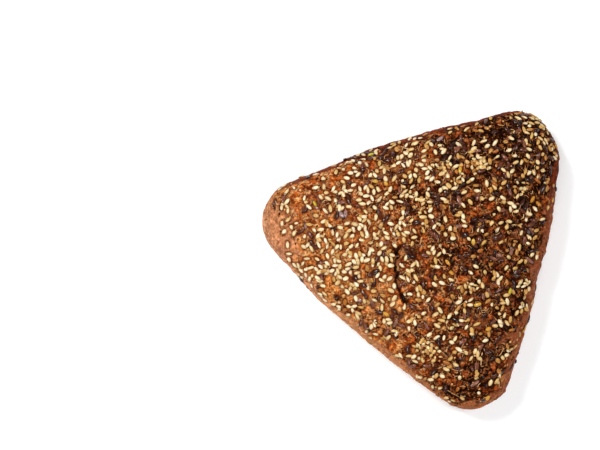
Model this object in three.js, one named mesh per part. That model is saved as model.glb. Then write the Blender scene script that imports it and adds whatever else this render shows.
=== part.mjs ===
// A flat, three-cornered seeded bread roll, baked in one piece on a tray.
// Millimetres, +Z up. The origin is on the surface that the roll rests on,
// under the middle of the box round its outline.
import * as THREE from "three";
import { mergeVertices } from "three/addons/utils/BufferGeometryUtils.js";

// Driving dimensions.
const CROWN_HEIGHT = 33; // top of the dome before its swells
const WAIST_HEIGHT = 12; // where the side bulges furthest out
const SHOULDER_HEIGHT = 26; // where the side turns into the top
const BASE_SHARE = 0.84; // the flat base, as a share of the outline
const SHOULDER_SHARE = 0.87; // the shoulder, as a share of the outline

// Handles of the cross-section's three curves.
// A share is of the outline; a rise is of the height that the curve starts or ends at.
const BASE_RING_SHARE = 0.45; // a ring inside the flat base, which keeps its facets even
const HEEL_LEAVES_SHARE = 0.93; // how far out the heel hugs the tray
const HEEL_ARRIVES_RISE = 0.35; // of the waist: the heel is upright from here
const SIDE_LEAVES_RISE = 0.78; // of the shoulder: the side is upright up to here
const SIDE_ARRIVES = { share: 0.94, rise: 0.92 }; // the side leans in to the shoulder
const TOP_LEAVES = { share: 0.7, rise: 1.13 }; // the top springs up from the shoulder
const TOP_ARRIVES_SHARE = 0.4; // the crown is flat inside this

// The three round corners, anticlockwise: the blunt tip, then the two sharper ones.
// bow is the radius of the slightly curved side that leads on to the next corner.
const CORNERS = [
  { x: -43, y: 16, radius: 17.5, bow: 390 },
  { x: 24.5, y: -45, radius: 15.5, bow: 420 },
  { x: 41.5, y: 42, radius: 19, bow: 420 },
];

// Where the dough rose more or less than the dome: place, reach and rise.
const SWELLS = [
  { x: 18, y: 12, reach: 26, rise: 1.8 },
  { x: -24, y: 18, reach: 15, rise: 1.3 },
  { x: 22, y: -26, reach: 15, rise: 1.2 },
  { x: 40, y: 36, reach: 12, rise: 0.9 },
  { x: -5, y: -6, reach: 9, rise: -1.9 },
  { x: 8, y: 36, reach: 12, rise: -1.1 },
  { x: -44, y: 8, reach: 14, rise: -1.6 },
  { x: 38, y: -4, reach: 11, rise: -0.8 },
];
const SWELL_STARTS = 14; // height on the side where the swells begin to show
const SWELL_FULL = 25; // height from which they show in full

// The side wall wanders in and out as it goes round, in waves per turn.
const WANDER = [
  { waves: 7, depth: 0.007, turn: 0.4 },
  { waves: 12, depth: 0.004, turn: 2.1 },
];

// Fineness of the faceted solid.
const OUTLINE_STEPS = 96; // round the outline
const HEEL_STEPS = 6;
const SIDE_STEPS = 7;
const TOP_STEPS = 11;

// Centre of the arc that touches two corner circles from inside, on the roll's side of them.
function bowCentre(from, to) {
  const along = new THREE.Vector2(to.x - from.x, to.y - from.y);
  const apart = along.length();
  along.divideScalar(apart);
  const inward = new THREE.Vector2(-along.y, along.x);
  const reachFrom = from.bow - from.radius;
  const reachTo = from.bow - to.radius;
  const share = (reachFrom ** 2 - reachTo ** 2 + apart ** 2) / (2 * apart);
  const offset = Math.sqrt(reachFrom ** 2 - share ** 2);
  return new THREE.Vector2(from.x, from.y)
    .addScaledVector(along, share)
    .addScaledVector(inward, offset);
}

function angleTo(centre, corner) {
  return Math.atan2(corner.y - centre.y, corner.x - centre.x);
}

// The widest outline, seen from above: six arcs, each running smoothly into the next.
function rollOutline() {
  const outline = new THREE.Path();
  const centres = CORNERS.map((corner, i) =>
    bowCentre(corner, CORNERS[(i + 1) % CORNERS.length]),
  );
  CORNERS.forEach((corner, i) => {
    const arrives = centres[(i + CORNERS.length - 1) % CORNERS.length];
    const leaves = centres[i];
    const next = CORNERS[(i + 1) % CORNERS.length];
    outline.absarc(
      corner.x,
      corner.y,
      corner.radius,
      angleTo(arrives, corner),
      angleTo(leaves, corner),
    );
    outline.absarc(
      leaves.x,
      leaves.y,
      corner.bow,
      angleTo(leaves, corner),
      angleTo(leaves, next),
    );
  });
  return outline;
}

// Half of the cross-section, from the middle of the base round to the crown.
// Across, it counts in shares of the outline; upwards, in millimetres.
function rollProfile() {
  const heel = new THREE.CubicBezierCurve(
    new THREE.Vector2(BASE_SHARE, 0),
    new THREE.Vector2(HEEL_LEAVES_SHARE, 0),
    new THREE.Vector2(1, HEEL_ARRIVES_RISE * WAIST_HEIGHT),
    new THREE.Vector2(1, WAIST_HEIGHT),
  );
  const side = new THREE.CubicBezierCurve(
    new THREE.Vector2(1, WAIST_HEIGHT),
    new THREE.Vector2(1, SIDE_LEAVES_RISE * SHOULDER_HEIGHT),
    new THREE.Vector2(SIDE_ARRIVES.share, SIDE_ARRIVES.rise * SHOULDER_HEIGHT),
    new THREE.Vector2(SHOULDER_SHARE, SHOULDER_HEIGHT),
  );
  const top = new THREE.CubicBezierCurve(
    new THREE.Vector2(SHOULDER_SHARE, SHOULDER_HEIGHT),
    new THREE.Vector2(TOP_LEAVES.share, TOP_LEAVES.rise * SHOULDER_HEIGHT),
    new THREE.Vector2(TOP_ARRIVES_SHARE, CROWN_HEIGHT),
    new THREE.Vector2(0, CROWN_HEIGHT),
  );
  return [
    new THREE.Vector2(0, 0),
    new THREE.Vector2(BASE_RING_SHARE, 0),
    ...heel.getPoints(HEEL_STEPS),
    ...side.getPoints(SIDE_STEPS).slice(1),
    ...top.getPoints(TOP_STEPS).slice(1),
  ];
}

function swell(x, y, height) {
  const shows = THREE.MathUtils.smoothstep(height, SWELL_STARTS, SWELL_FULL);
  const rise = SWELLS.reduce((sum, lump) => {
    const away = (x - lump.x) ** 2 + (y - lump.y) ** 2;
    return sum + lump.rise * Math.exp(-away / lump.reach ** 2);
  }, 0);
  return shows * rise;
}

function wander(turn, height) {
  const shows = Math.sin((Math.PI * height) / CROWN_HEIGHT);
  return WANDER.reduce(
    (scale, wave) =>
      scale + shows * wave.depth * Math.sin(wave.waves * turn + wave.turn),
    1,
  );
}

// A lathe makes the rings; each of its meridians then moves out to its own point of the outline.
function rollGeometry() {
  const profile = rollProfile();
  const outline = rollOutline();
  const lathe = new THREE.LatheGeometry(profile, OUTLINE_STEPS);
  const position = lathe.getAttribute("position");
  for (let k = 0; k < position.count; k++) {
    const meridian = Math.floor(k / profile.length) % OUTLINE_STEPS;
    const station = profile[k % profile.length];
    const rim = outline.getPointAt(meridian / OUTLINE_STEPS);
    const turn = (2 * Math.PI * meridian) / OUTLINE_STEPS;
    const share = station.x * wander(turn, station.y);
    const x = rim.x * share;
    const y = rim.y * share;
    position.setXYZ(k, x, y, station.y + swell(x, y, station.y));
  }
  lathe.deleteAttribute("normal");
  lathe.deleteAttribute("uv");
  const closed = mergeVertices(lathe);
  closed.computeBoundingBox();
  const middle = closed.boundingBox.getCenter(new THREE.Vector3());
  closed.translate(-middle.x, -middle.y, -closed.boundingBox.min.z);
  closed.computeVertexNormals();
  return closed;
}

const crust = new THREE.MeshStandardMaterial({
  color: 0x96552d,
  roughness: 0.75,
  metalness: 0,
});

const breadRoll = new THREE.Mesh(rollGeometry(), crust);
breadRoll.name = "bread_roll";

const part = new THREE.Group();
part.add(breadRoll);

export default part;
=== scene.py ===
# %% [markdown]
# # A seeded three-cornered bread roll
# The roll is one piece of baked dough with a crust of seeds, cracked grain and bran on its top.
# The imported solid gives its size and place. This script gives it its looks: a fine crust mesh,
# the toppings, their materials, a studio floor, soft lights and a camera that looks straight down.

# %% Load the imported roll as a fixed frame
import math
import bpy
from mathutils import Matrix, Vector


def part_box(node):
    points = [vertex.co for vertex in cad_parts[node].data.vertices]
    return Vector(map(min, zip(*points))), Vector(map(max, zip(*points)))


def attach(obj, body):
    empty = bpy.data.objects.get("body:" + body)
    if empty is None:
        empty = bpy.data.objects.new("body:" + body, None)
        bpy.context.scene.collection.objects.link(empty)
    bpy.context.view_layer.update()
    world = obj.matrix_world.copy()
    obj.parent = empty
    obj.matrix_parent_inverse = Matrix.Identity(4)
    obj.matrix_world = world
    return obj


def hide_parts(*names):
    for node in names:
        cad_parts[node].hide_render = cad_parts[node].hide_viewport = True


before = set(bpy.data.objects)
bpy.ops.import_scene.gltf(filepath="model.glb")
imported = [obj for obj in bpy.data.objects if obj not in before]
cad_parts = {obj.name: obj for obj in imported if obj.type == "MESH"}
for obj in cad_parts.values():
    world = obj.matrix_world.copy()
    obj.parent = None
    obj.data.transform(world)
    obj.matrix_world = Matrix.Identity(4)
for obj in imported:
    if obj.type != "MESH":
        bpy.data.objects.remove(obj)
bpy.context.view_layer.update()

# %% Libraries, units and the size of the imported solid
from types import SimpleNamespace

import bpy
import numpy as np
from mathutils import Matrix, Vector, noise
from mathutils.bvhtree import BVHTree
from mathutils.kdtree import KDTree

MM = 0.001
roll_low, roll_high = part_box("bread_roll")
roll_height = roll_high.z - roll_low.z
print("packed roll, mm:", [round(side / MM, 1) for side in roll_high - roll_low])


# %% [markdown]
# ## Camera
# The camera looks straight down through a long lens, so the roll's sides stay narrow. It stands a
# little to the left of the roll, which shows more of the blunt left-hand tip. A short lens nearby
# would take in the same width, but it would lean the sides outwards.

# %% Camera
VIEW_WIDTH = 245 * MM  # what the view takes in, at the roll's widest height
WAIST_HEIGHT = 12 * MM
LENS = 100.0
SENSOR = 36.0
NEAREST = 0.01  # metres, between which the camera sees
FURTHEST = 20
CAMERA_OVER = (-45.0 * MM, 14.3 * MM)

bpy.ops.object.select_all(action="DESELECT")
camera_height = WAIST_HEIGHT + VIEW_WIDTH * LENS / SENSOR
bpy.ops.object.camera_add(location=(*CAMERA_OVER, camera_height), rotation=(0, 0, 0))
camera = bpy.context.object
camera.name = "camera"
camera.data.lens = LENS
camera.data.sensor_width = SENSOR
camera.data.clip_start = NEAREST
camera.data.clip_end = FURTHEST
bpy.context.scene.camera = camera
print("camera height, mm:", round(camera_height / MM))

# %% [markdown]
# ## Floor
# A plain white floor shows the roll's outline and its soft shadow. A flat disc is enough, because
# no view shows its rim. It could be plain white only, but then the shadow turns grey, so the white
# gives off a little light of its own, as a light table does.

# %% Floor
FLOOR_RADIUS = 4.0
FLOOR_GAP = 0.1 * MM
FLOOR_SIDES = 96
FLOOR_WHITE = (0.91, 0.93, 0.94)  # a touch blue, because the brown roll throws warm light on it
FLOOR_ROUGHNESS = 0.8
FLOOR_GLOW = 0.12

bpy.ops.mesh.primitive_circle_add(
    vertices=FLOOR_SIDES, radius=FLOOR_RADIUS, fill_type="NGON", location=(0, 0, -FLOOR_GAP)
)
floor = bpy.context.object
floor.name = "studio_floor"

floor_material = bpy.data.materials.new("floor_white")
floor_material.use_nodes = True
floor_shader = floor_material.node_tree.nodes["Principled BSDF"].inputs
floor_shader["Base Color"].default_value = (*FLOOR_WHITE, 1)
floor_shader["Roughness"].default_value = FLOOR_ROUGHNESS
floor_shader["Emission Color"].default_value = (1, 1, 1, 1)
floor_shader["Emission Strength"].default_value = FLOOR_GLOW
floor.data.materials.append(floor_material)
print("floor radius, m:", FLOOR_RADIUS)

# %% [markdown]
# ## Soft light
# Seeds and syrup shine, and a lamp straight above mirrors in them and lays a grey veil over the
# dark crust. So three square softboxes stand around the roll, each well off the vertical. The one
# on the far left is the strongest and gives the lumps their shadows. A dim even sky fills the rest.

# %% Softboxes and sky
SKY_STRENGTH = 0.20
AIM = (0, 0, 0.01)  # what the softboxes face: the roll's middle


def softbox(name, place, size, power):
    """A square area light that faces the roll."""
    direction = Vector(AIM) - Vector(place)
    turn = direction.to_track_quat("-Z", "Y").to_euler()
    bpy.ops.object.light_add(type="AREA", location=place, rotation=turn)
    light = bpy.context.object
    light.name = name
    light.data.size = size
    light.data.energy = power
    lean = math.degrees(Vector((0, 0, -1)).angle(direction))
    print(name, "off the vertical, degrees:", round(lean))


softbox("key_light", place=(-0.50, 0.42, 0.95), size=0.30, power=10.8)
softbox("right_light", place=(0.62, 0.15, 0.95), size=0.40, power=5.3)
softbox("near_light", place=(-0.15, -0.66, 0.95), size=0.40, power=4.9)

world = bpy.data.worlds.new("studio")
world.use_nodes = True
world.node_tree.nodes["Background"].inputs["Color"].default_value = (1, 1, 1, 1)
world.node_tree.nodes["Background"].inputs["Strength"].default_value = SKY_STRENGTH
bpy.context.scene.world = world
bpy.context.scene.view_settings.view_transform = "Standard"


# %% [markdown]
# ## The crust's body
# A real roll is a flat triangle of dough that puffs up in the oven. Its top domes, its sides bulge
# and its base stays flat on the tray. It could be a sphere pushed into shape, but a three-sided
# prism with bevelled corners starts much closer. A voxel remesh then gives it small, even faces,
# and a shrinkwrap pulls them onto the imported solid, so the size can't drift.

# %% Helpers for modelling in place
def use(obj):
    """Makes obj the only selected object, and the active one."""
    bpy.ops.object.select_all(action="DESELECT")
    obj.select_set(True)
    bpy.context.view_layer.objects.active = obj


def modify(obj, kind, **settings):
    """Adds a modifier, sets it and applies it."""
    use(obj)
    modifier = obj.modifiers.new(kind.lower(), kind)
    for setting, value in settings.items():
        setattr(modifier, setting, value)
    bpy.ops.object.modifier_apply(modifier=modifier.name)


def values_of(items, title, kind=np.float32):
    """One value for each vertex, face or corner, as an array."""
    found = np.empty(len(items), kind)
    items.foreach_get(title, found)
    return found


def vectors_of(items, title):
    """One vector for each vertex or face, as an array."""
    found = np.empty(len(items) * 3, np.float32)
    items.foreach_get(title, found)
    return found.reshape(-1, 3).astype(float)


def points_of(obj):
    """A mesh's vertices as an array."""
    return vectors_of(obj.data.vertices, "co")


def move_points(obj, places):
    """Puts a mesh's vertices at new places."""
    obj.data.vertices.foreach_set("co", places.astype(np.float32).ravel())
    obj.data.update()


def normals_of(obj):
    """A mesh's vertex normals as an array."""
    return vectors_of(obj.data.vertex_normals, "vector")


# %% A three-sided prism
PRISM_RADIUS = 86 * MM
PRISM_TURN = math.radians(-45)
PRISM_MIDDLE = (3 * MM, 2 * MM)

bpy.ops.object.select_all(action="DESELECT")
bpy.ops.mesh.primitive_cylinder_add(
    vertices=3,
    radius=PRISM_RADIUS,
    depth=roll_height,
    location=(*PRISM_MIDDLE, roll_height / 2),
    rotation=(0, 0, PRISM_TURN),
)
crust = bpy.context.object
crust.name = "crust"
bpy.ops.object.transform_apply(location=True, rotation=True, scale=True)
print("prism, mm:", [round(side / MM) for side in crust.dimensions])

# %% Its three upright edges, then its two rims, made round
CORNER_BEVEL = 26 * MM
CORNER_SEGMENTS = 8
RIM_BEVEL = 9 * MM
RIM_SEGMENTS = 5
LEVEL = 0.9  # a face whose normal is closer to upright than this is the top or the base
ROUGH_VOXEL = 1.6 * MM

for edge in crust.data.edges:
    one, other = (crust.data.vertices[v].co for v in edge.vertices)
    edge.select = abs(one.z - other.z) > roll_height / 2
bpy.ops.object.mode_set(mode="EDIT")
bpy.ops.mesh.select_mode(type="EDGE")
bpy.ops.mesh.bevel(offset=CORNER_BEVEL, segments=CORNER_SEGMENTS, affect="EDGES")
bpy.ops.object.mode_set(mode="OBJECT")
for face in crust.data.polygons:
    face.select = abs(face.normal.z) > LEVEL
bpy.ops.object.mode_set(mode="EDIT")
bpy.ops.mesh.select_mode(type="FACE")
bpy.ops.mesh.region_to_loop()
bpy.ops.mesh.bevel(offset=RIM_BEVEL, segments=RIM_SEGMENTS, affect="EDGES")
bpy.ops.object.mode_set(mode="OBJECT")
modify(crust, "REMESH", mode="VOXEL", voxel_size=ROUGH_VOXEL)
print("rough crust:", len(crust.data.polygons), "faces")

# %% Small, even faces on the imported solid
FINE_VOXEL = 0.6 * MM
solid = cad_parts["bread_roll"]


def pull_onto_solid():
    """Puts the crust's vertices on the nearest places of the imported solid."""
    modify(crust, "SHRINKWRAP", target=solid, wrap_method="NEAREST_SURFACEPOINT")


pull_onto_solid()
modify(crust, "SMOOTH", factor=0.5, iterations=4)
pull_onto_solid()
modify(crust, "REMESH", mode="VOXEL", voxel_size=FINE_VOXEL)
modify(crust, "SMOOTH", factor=0.6, iterations=6)
pull_onto_solid()
modify(crust, "SMOOTH", factor=0.5, iterations=3)
smooth_places = points_of(crust)
smooth_normals = normals_of(crust)
print("fine crust:", len(crust.data.polygons), "faces")


# %% [markdown]
# ## Lumps and grain
# A seeded crust is nowhere smooth. Broad lumps come from the dough, crumples from the skin that
# dries before the crumb stops rising, and grain from the meal in the dough. It could be sculpted,
# but Displace modifiers, each with a procedural texture of its own size, cover it evenly. A vertex
# group keeps them off the flat base and holds them back on the sides, where the skin is smoother.

# %% How freely each place may move
BASE_FADE = 3 * MM  # the height over which the base's flatness gives way to the crust's lumps
BASE_SHARE = 0.04  # how lumpy the base is, next to the top
SIDE_SHARE = 0.42  # how lumpy the sides are, next to the top
TOP_STARTS = 0.1  # the side turns into the top where its normal rises above this
TOP_BLEND = 0.6

free = crust.vertex_groups.new(name="free")
on_top = np.clip((smooth_normals[:, 2] - TOP_STARTS) / TOP_BLEND, 0, 1)
off_base = np.clip(smooth_places[:, 2] / BASE_FADE, BASE_SHARE, 1)
freedom = off_base * (SIDE_SHARE + (1 - SIDE_SHARE) * on_top)
for index, weight in enumerate(freedom):
    free.add([index], float(weight), "REPLACE")
print("mean freedom:", round(float(freedom.mean()), 2))


# %% Displacement in four sizes
def displace(obj, name, kind, size, strength, **settings):
    """Pushes a mesh in and out by a procedural texture of the given size, in metres."""
    texture = bpy.data.textures.new(name, kind)
    texture.noise_scale = size
    for setting, value in settings.items():
        setattr(texture, setting, value)
    modify(
        obj,
        "DISPLACE",
        texture=texture,
        texture_coords="LOCAL",
        strength=strength,
        mid_level=0.5,
        vertex_group="free",
    )


displace(crust, "lumps", "CLOUDS", size=9 * MM, strength=2.0 * MM, noise_depth=1)
lumpy_places = points_of(crust)
displace(crust, "crumples", "CLOUDS", size=3.2 * MM, strength=1.8 * MM, noise_depth=3)
displace(crust, "meal", "VORONOI", size=1.6 * MM, strength=0.4 * MM)
displace(crust, "grain", "CLOUDS", size=0.9 * MM, strength=0.6 * MM, noise_depth=2)
places = points_of(crust)
pushes = np.linalg.norm(places - smooth_places, axis=1)
print("furthest push, mm:", round(float(pushes.max() / MM), 2))

# %% [markdown]
# ## The fold and the torn lip
# Where the dough was turned in, a narrow fold runs over the middle of the top, wider at some places
# than at others, and the crust's material paints it dark, as painted shade. On the right-hand side a
# scrap of skin stands out where the roll touched its neighbour. Both are single features, so they
# aren't left to chance. Proportional editing could make them, but a line of places with a half width
# at each says exactly how they run.

# %% The fold
FOLD = np.array(  # x, y and half width, mm
    [
        (-5.2, 5.8, 0.4),
        (-6.8, 3.7, 1.1),
        (-6.1, 1.9, 0.35),
        (-7.6, -1.9, 0.3),
        (-6.3, -5.5, 0.6),
        (-7.2, -8.2, 0.35),
        (-5.9, -11.0, 0.6),
        (-4.4, -14.6, 1.2),
        (-2.6, -17.0, 0.5),
    ]
)
FOLD_DEPTH = 2.0 * MM
FOLD_RAGGED = 1.8  # how much the fold's width wanders
RAG_SIZE = 1.6 * MM


def from_fold(found):
    """How far each place lies from the fold's line, in half widths, and how far beyond its edge."""
    ragged = np.array([noise.noise(Vector(place) / RAG_SIZE) for place in found])
    widths = np.full(len(found), np.inf)
    beyond = np.full(len(found), np.inf)
    for start, end in zip(FOLD * MM, FOLD[1:] * MM):
        along = end - start
        share = np.clip((found[:, :2] - start[:2]) @ along[:2] / (along[:2] @ along[:2]), 0, 1)
        closest = start + share[:, None] * along
        away = np.linalg.norm(found[:, :2] - closest[:, :2], axis=1)
        widths = np.minimum(widths, away / closest[:, 2])
        beyond = np.minimum(beyond, away - closest[:, 2])
    return widths * np.exp(FOLD_RAGGED * ragged), beyond


facing_up = np.clip(smooth_normals[:, 2], 0, 1)
fold = np.exp(-(from_fold(places)[0] ** 2))
places[:, 2] -= FOLD_DEPTH * facing_up * fold
print("vertices in the fold:", int((fold * facing_up > 0.5).sum()))

# %% The torn lip
LIP_AT = (51.5, -18.0, 14.0)  # mm
LIP_REACH = 1.9 * MM
LIP_PUSH = 1.3 * MM

lip_away = np.linalg.norm(places - np.array(LIP_AT) * MM, axis=1)
lip = np.exp(-((lip_away / LIP_REACH) ** 2))
places += smooth_normals * (LIP_PUSH * lip)[:, None]
places[:, 2] = np.maximum(places[:, 2], 0)
move_points(crust, places)
print("vertices in the lip:", int((lip > 0.5).sum()))


# %% [markdown]
# ## What the crust's colour follows
# Seeds cover the top and leave the sides bare. How far down they reach changes round the roll: far
# down on the far corner, which is burnt and also painted dark as shade, less far on the right and at
# the near tip. Hollows are painted darker, as painted shade, and ridges paler, as painted highlight.
# The mesh keeps these as numbers for each vertex, which a material can read. A painted image could
# hold them too, but it would need a flat map, and it would blur where it is stretched.

# %% Helper that keeps numbers in a mesh
def store(mesh, title, values):
    """Keeps one number for each vertex in the mesh, for a material to read."""
    mesh.attributes.new(title, "FLOAT", "POINT").data.foreach_set("value", values.astype(np.float32))


# %% Where the skin is bare
BARE_LIMIT = 0.62  # seeds lie where the skin's normal rises above this
BARE_SIDES = [  # a direction seen from above, the limit there, and how narrow that stretch is
    ((-0.3, 0.95), 0.42, 1),
    ((-0.75, -0.66), 0.52, 2),
    ((0.97, -0.25), 0.78, 2),
    ((0.6, 0.8), 0.15, 4),
    ((0.25, -0.97), 0.76, 8),
]
BARE_BLEND = 0.3
EDGE_WANDER = 0.30  # how far the seeds' lower edge wanders
WANDER_SIZE = 7 * MM


def bareness(found, normals):
    """1 where the skin of the sides is bare and 0 where the top is seeded, by which way it faces."""
    outward = normals[:, :2] / np.maximum(np.linalg.norm(normals[:, :2], axis=1), 0.001)[:, None]
    limit = np.full(len(found), BARE_LIMIT)
    for direction, side_limit, narrowness in BARE_SIDES:
        share = np.clip(outward @ np.array(direction), 0, 1) ** narrowness
        limit += (side_limit - limit) * share
    limit += EDGE_WANDER * np.array([noise.noise(Vector(place) / WANDER_SIZE) for place in found])
    return np.clip((limit - normals[:, 2]) / BARE_BLEND + 0.5, 0, 1)


crust_bareness = bareness(smooth_places, smooth_normals)
store(crust.data, "bareness", crust_bareness)
print("bare share of the crust:", round(float((crust_bareness > 0.5).mean()), 2))

# %% What stands out, and the crust's place in the frame
STANDS_OUT = 0.8 * MM

out = ((places - lumpy_places) * smooth_normals).sum(1)
out -= np.median(out)
store(crust.data, "stands_out", np.clip(out / STANDS_OUT * 0.5 + 0.5, 0, 1))
store(crust.data, "fold", fold * (facing_up > 0))
use(crust)
bpy.ops.object.shade_smooth()
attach(crust, "root")
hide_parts("bread_roll")
print("crust stands out, mm:", [round(float(v) / MM, 2) for v in np.percentile(out, [1, 50, 99])])


# %% [markdown]
# ## Shader groups
# Several finishes share the same effects, so each effect is a node group with named inputs. Every
# pattern reads Object coordinates, which are real metres here, so sizes are stated as sizes.

# %% Colours as shaders use them
def rgb(red, green, blue):
    """A screen colour from 0 to 255 as the linear colour that shaders use."""
    linear = []
    for value in (red, green, blue):
        share = value / 255
        linear.append(share / 12.92 if share <= 0.04045 else ((share + 0.055) / 1.055) ** 2.4)
    return (*linear, 1.0)


# %% Helpers for node trees
class Tree:
    """Adds nodes to a material or a group in one line each."""

    def __init__(self, tree):
        self.tree = tree

    def join(self, value, socket):
        """Links a socket's value to another socket, or sets it to a plain value."""
        if isinstance(value, bpy.types.NodeSocket):
            self.tree.links.new(value, socket)
        else:
            socket.default_value = value

    def node(self, kind, settings=None, **inputs):
        """A node of that kind, with inputs by socket name."""
        made = self.tree.nodes.new(kind)
        for title, value in (settings or {}).items():
            setattr(made, title, value)
        for title, value in inputs.items():
            self.join(value, made.inputs[title])
        return made

    def math(self, operation, first, second=0.0, third=0.0, clamp=False):
        """A Math node's result."""
        made = self.node("ShaderNodeMath", {"operation": operation, "use_clamp": clamp})
        for socket, value in zip(made.inputs, (first, second, third)):
            self.join(value, socket)
        return made.outputs[0]

    def vector_math(self, operation, first, second):
        """A Vector Math node's result. SCALE takes a number second, and DISTANCE gives one."""
        made = self.node("ShaderNodeVectorMath", {"operation": operation})
        self.join(first, made.inputs[0])
        self.join(second, made.inputs["Scale" if operation == "SCALE" else 1])
        return made.outputs["Value" if operation == "DISTANCE" else 0]

    def mix(self, share, first, second):
        """A colour between two colours."""
        made = self.node("ShaderNodeMix", {"data_type": "RGBA"})
        for number, value in ((0, share), (6, first), (7, second)):
            self.join(value, made.inputs[number])
        return made.outputs[2]

    def over(self, colour, mask, share, top):
        """A colour with another laid over it where a mask is, as thickly as share says."""
        return self.mix(self.math("MULTIPLY", mask, share), colour, top)

    def ramp(self, share, stops):
        """A colour that runs through stops. Each is a place from 0 to 1 and a colour."""
        made = self.node("ShaderNodeValToRGB", Fac=share)
        elements = made.color_ramp.elements
        for element, (place, colour) in zip(elements, (stops[0], stops[-1])):
            element.position = place
            element.color = colour
        for place, colour in stops[1:-1]:
            elements.new(place).color = colour
        return made.outputs[0]

    def between(self, value, low, high):
        """0 at low, 1 at high, and smooth in between."""
        made = self.node("ShaderNodeMapRange", {"interpolation_type": "SMOOTHSTEP"})
        for number, given in enumerate((value, low, high)):
            self.join(given, made.inputs[number])
        return made.outputs[0]

    def noise(self, vector, size, detail=3.0, roughness=0.55):
        """Noise whose largest patches are about size metres."""
        given = {"Vector": vector, "Scale": 1 / size, "Detail": detail, "Roughness": roughness}
        return self.node("ShaderNodeTexNoise", **given).outputs[0]

    def stored(self, title):
        """A number that the mesh keeps for each vertex."""
        return self.node("ShaderNodeAttribute", {"attribute_name": title}).outputs["Fac"]

    def group(self, group, **inputs):
        """A node for a group, with inputs by socket name, and its outputs."""
        return self.node("ShaderNodeGroup", {"node_tree": group}, **inputs).outputs


# %% Helpers that start a group or a material
def new_group(name, inputs, outputs):
    """An empty shader node group with named sockets, and its input and output nodes' sockets."""
    group = bpy.data.node_groups.new(name, "ShaderNodeTree")
    for title, kind, value in inputs:
        socket = group.interface.new_socket(title, in_out="INPUT", socket_type=kind)
        if value is not None:
            socket.default_value = value
    for title, kind in outputs:
        group.interface.new_socket(title, in_out="OUTPUT", socket_type=kind)
    tree = Tree(group)
    return tree, tree.node("NodeGroupInput").outputs, tree.node("NodeGroupOutput").inputs


def new_material(name):
    """A material with a Principled shader: its tree, shader and Object coordinates."""
    material = bpy.data.materials.new(name)
    material.use_nodes = True
    tree = Tree(material.node_tree)
    shader = material.node_tree.nodes["Principled BSDF"]
    where = tree.node("ShaderNodeTexCoord").outputs["Object"]
    return material, tree, shader, where


# %% [markdown]
# ### Flecks
# Bran in the dough and scorched meal show as ragged flecks of about one size. A Voronoi texture
# gives one spot to a cell, noise bends its outline, and only some of the cells keep theirs. Noise
# alone would give spots too, but of every size, and without a tone of their own.

# %% Group: flecks
FLECK_BEND = 0.9  # how far noise bends a fleck's outline, next to its size
FLECK_CORE = 0.6  # the share of its reach where a fleck is full


def make_fleck_group():
    """Scattered ragged flecks of one size. Share is the share of cells that hold one."""
    tree, given, result = new_group(
        "flecks",
        [
            ("Vector", "NodeSocketVector", None),
            ("Size", "NodeSocketFloat", 1.0 * MM),
            ("Share", "NodeSocketFloat", 0.4),
            ("Reach", "NodeSocketFloat", 0.45),
        ],
        [("Mask", "NodeSocketFloat"), ("Tone", "NodeSocketFloat")],
    )
    scale = tree.math("DIVIDE", 1.0, given["Size"])
    bend = tree.node("ShaderNodeTexNoise", Vector=given["Vector"], Scale=scale, Detail=2.0)
    centred = tree.vector_math("SUBTRACT", bend.outputs["Color"], (0.5, 0.5, 0.5))
    shift = tree.vector_math("SCALE", centred, tree.math("MULTIPLY", given["Size"], FLECK_BEND))
    bent = tree.vector_math("ADD", given["Vector"], shift)
    cells = tree.node("ShaderNodeTexVoronoi", Vector=bent, Scale=scale)
    cell_tones = tree.node("ShaderNodeSeparateColor", Color=cells.outputs["Color"]).outputs
    chosen = tree.math("LESS_THAN", cell_tones[0], given["Share"])
    inner = tree.math("MULTIPLY", given["Reach"], FLECK_CORE)
    inside = tree.between(cells.outputs["Distance"], given["Reach"], inner)
    tree.join(tree.math("MULTIPLY", inside, chosen), result["Mask"])
    tree.join(cell_tones[1], result["Tone"])
    print("flecks:", len(tree.tree.nodes), "nodes")
    return tree.tree


FLECKS = make_fleck_group()


# %% [markdown]
# ### Strands
# Syrup dries in threads, husks leave curled edges, and the skin cracks in fine lines. The places
# where noise crosses its middle value form such lines. A second noise breaks them up. Drawn curves
# would do for a few, but a crust holds hundreds. The crust paints its threads pale, partly as painted
# highlight, and its cracks dark, as painted shade.

# %% Group: strands
STRAND_GAPS = (0.42, 0.55)  # where in the second noise a strand is broken, and where it is whole


def make_strand_group():
    """Thin curly lines, broken here and there, which follow the contours of noise."""
    tree, given, result = new_group(
        "strands",
        [
            ("Vector", "NodeSocketVector", None),
            ("Size", "NodeSocketFloat", 2.0 * MM),
            ("Width", "NodeSocketFloat", 0.03),
        ],
        [("Mask", "NodeSocketFloat")],
    )
    scale = tree.math("DIVIDE", 1.0, given["Size"])
    cloud = tree.node("ShaderNodeTexNoise", Vector=given["Vector"], Scale=scale, Detail=1.5)
    channels = tree.node("ShaderNodeSeparateColor", Color=cloud.outputs["Color"]).outputs
    lines = []
    for channel in channels[:2]:
        away = tree.math("ABSOLUTE", tree.math("SUBTRACT", channel, 0.5))
        lines.append(tree.between(away, given["Width"], 0.0))
    kept = tree.between(channels[2], *STRAND_GAPS)
    tree.join(tree.math("MULTIPLY", tree.math("MAXIMUM", *lines), kept), result["Mask"])
    print("strands:", len(tree.tree.nodes), "nodes")
    return tree.tree


STRANDS = make_strand_group()


# %% [markdown]
# ### Uneven colour
# Nothing baked has one even colour. This group makes a colour lighter and darker in soft patches
# of a stated size. The crust uses it twice, in two sizes, and each topping once.

# %% Group: patchy colour
PATCHY_SWING = 4.0  # stretches noise, which keeps close to its middle value


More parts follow.
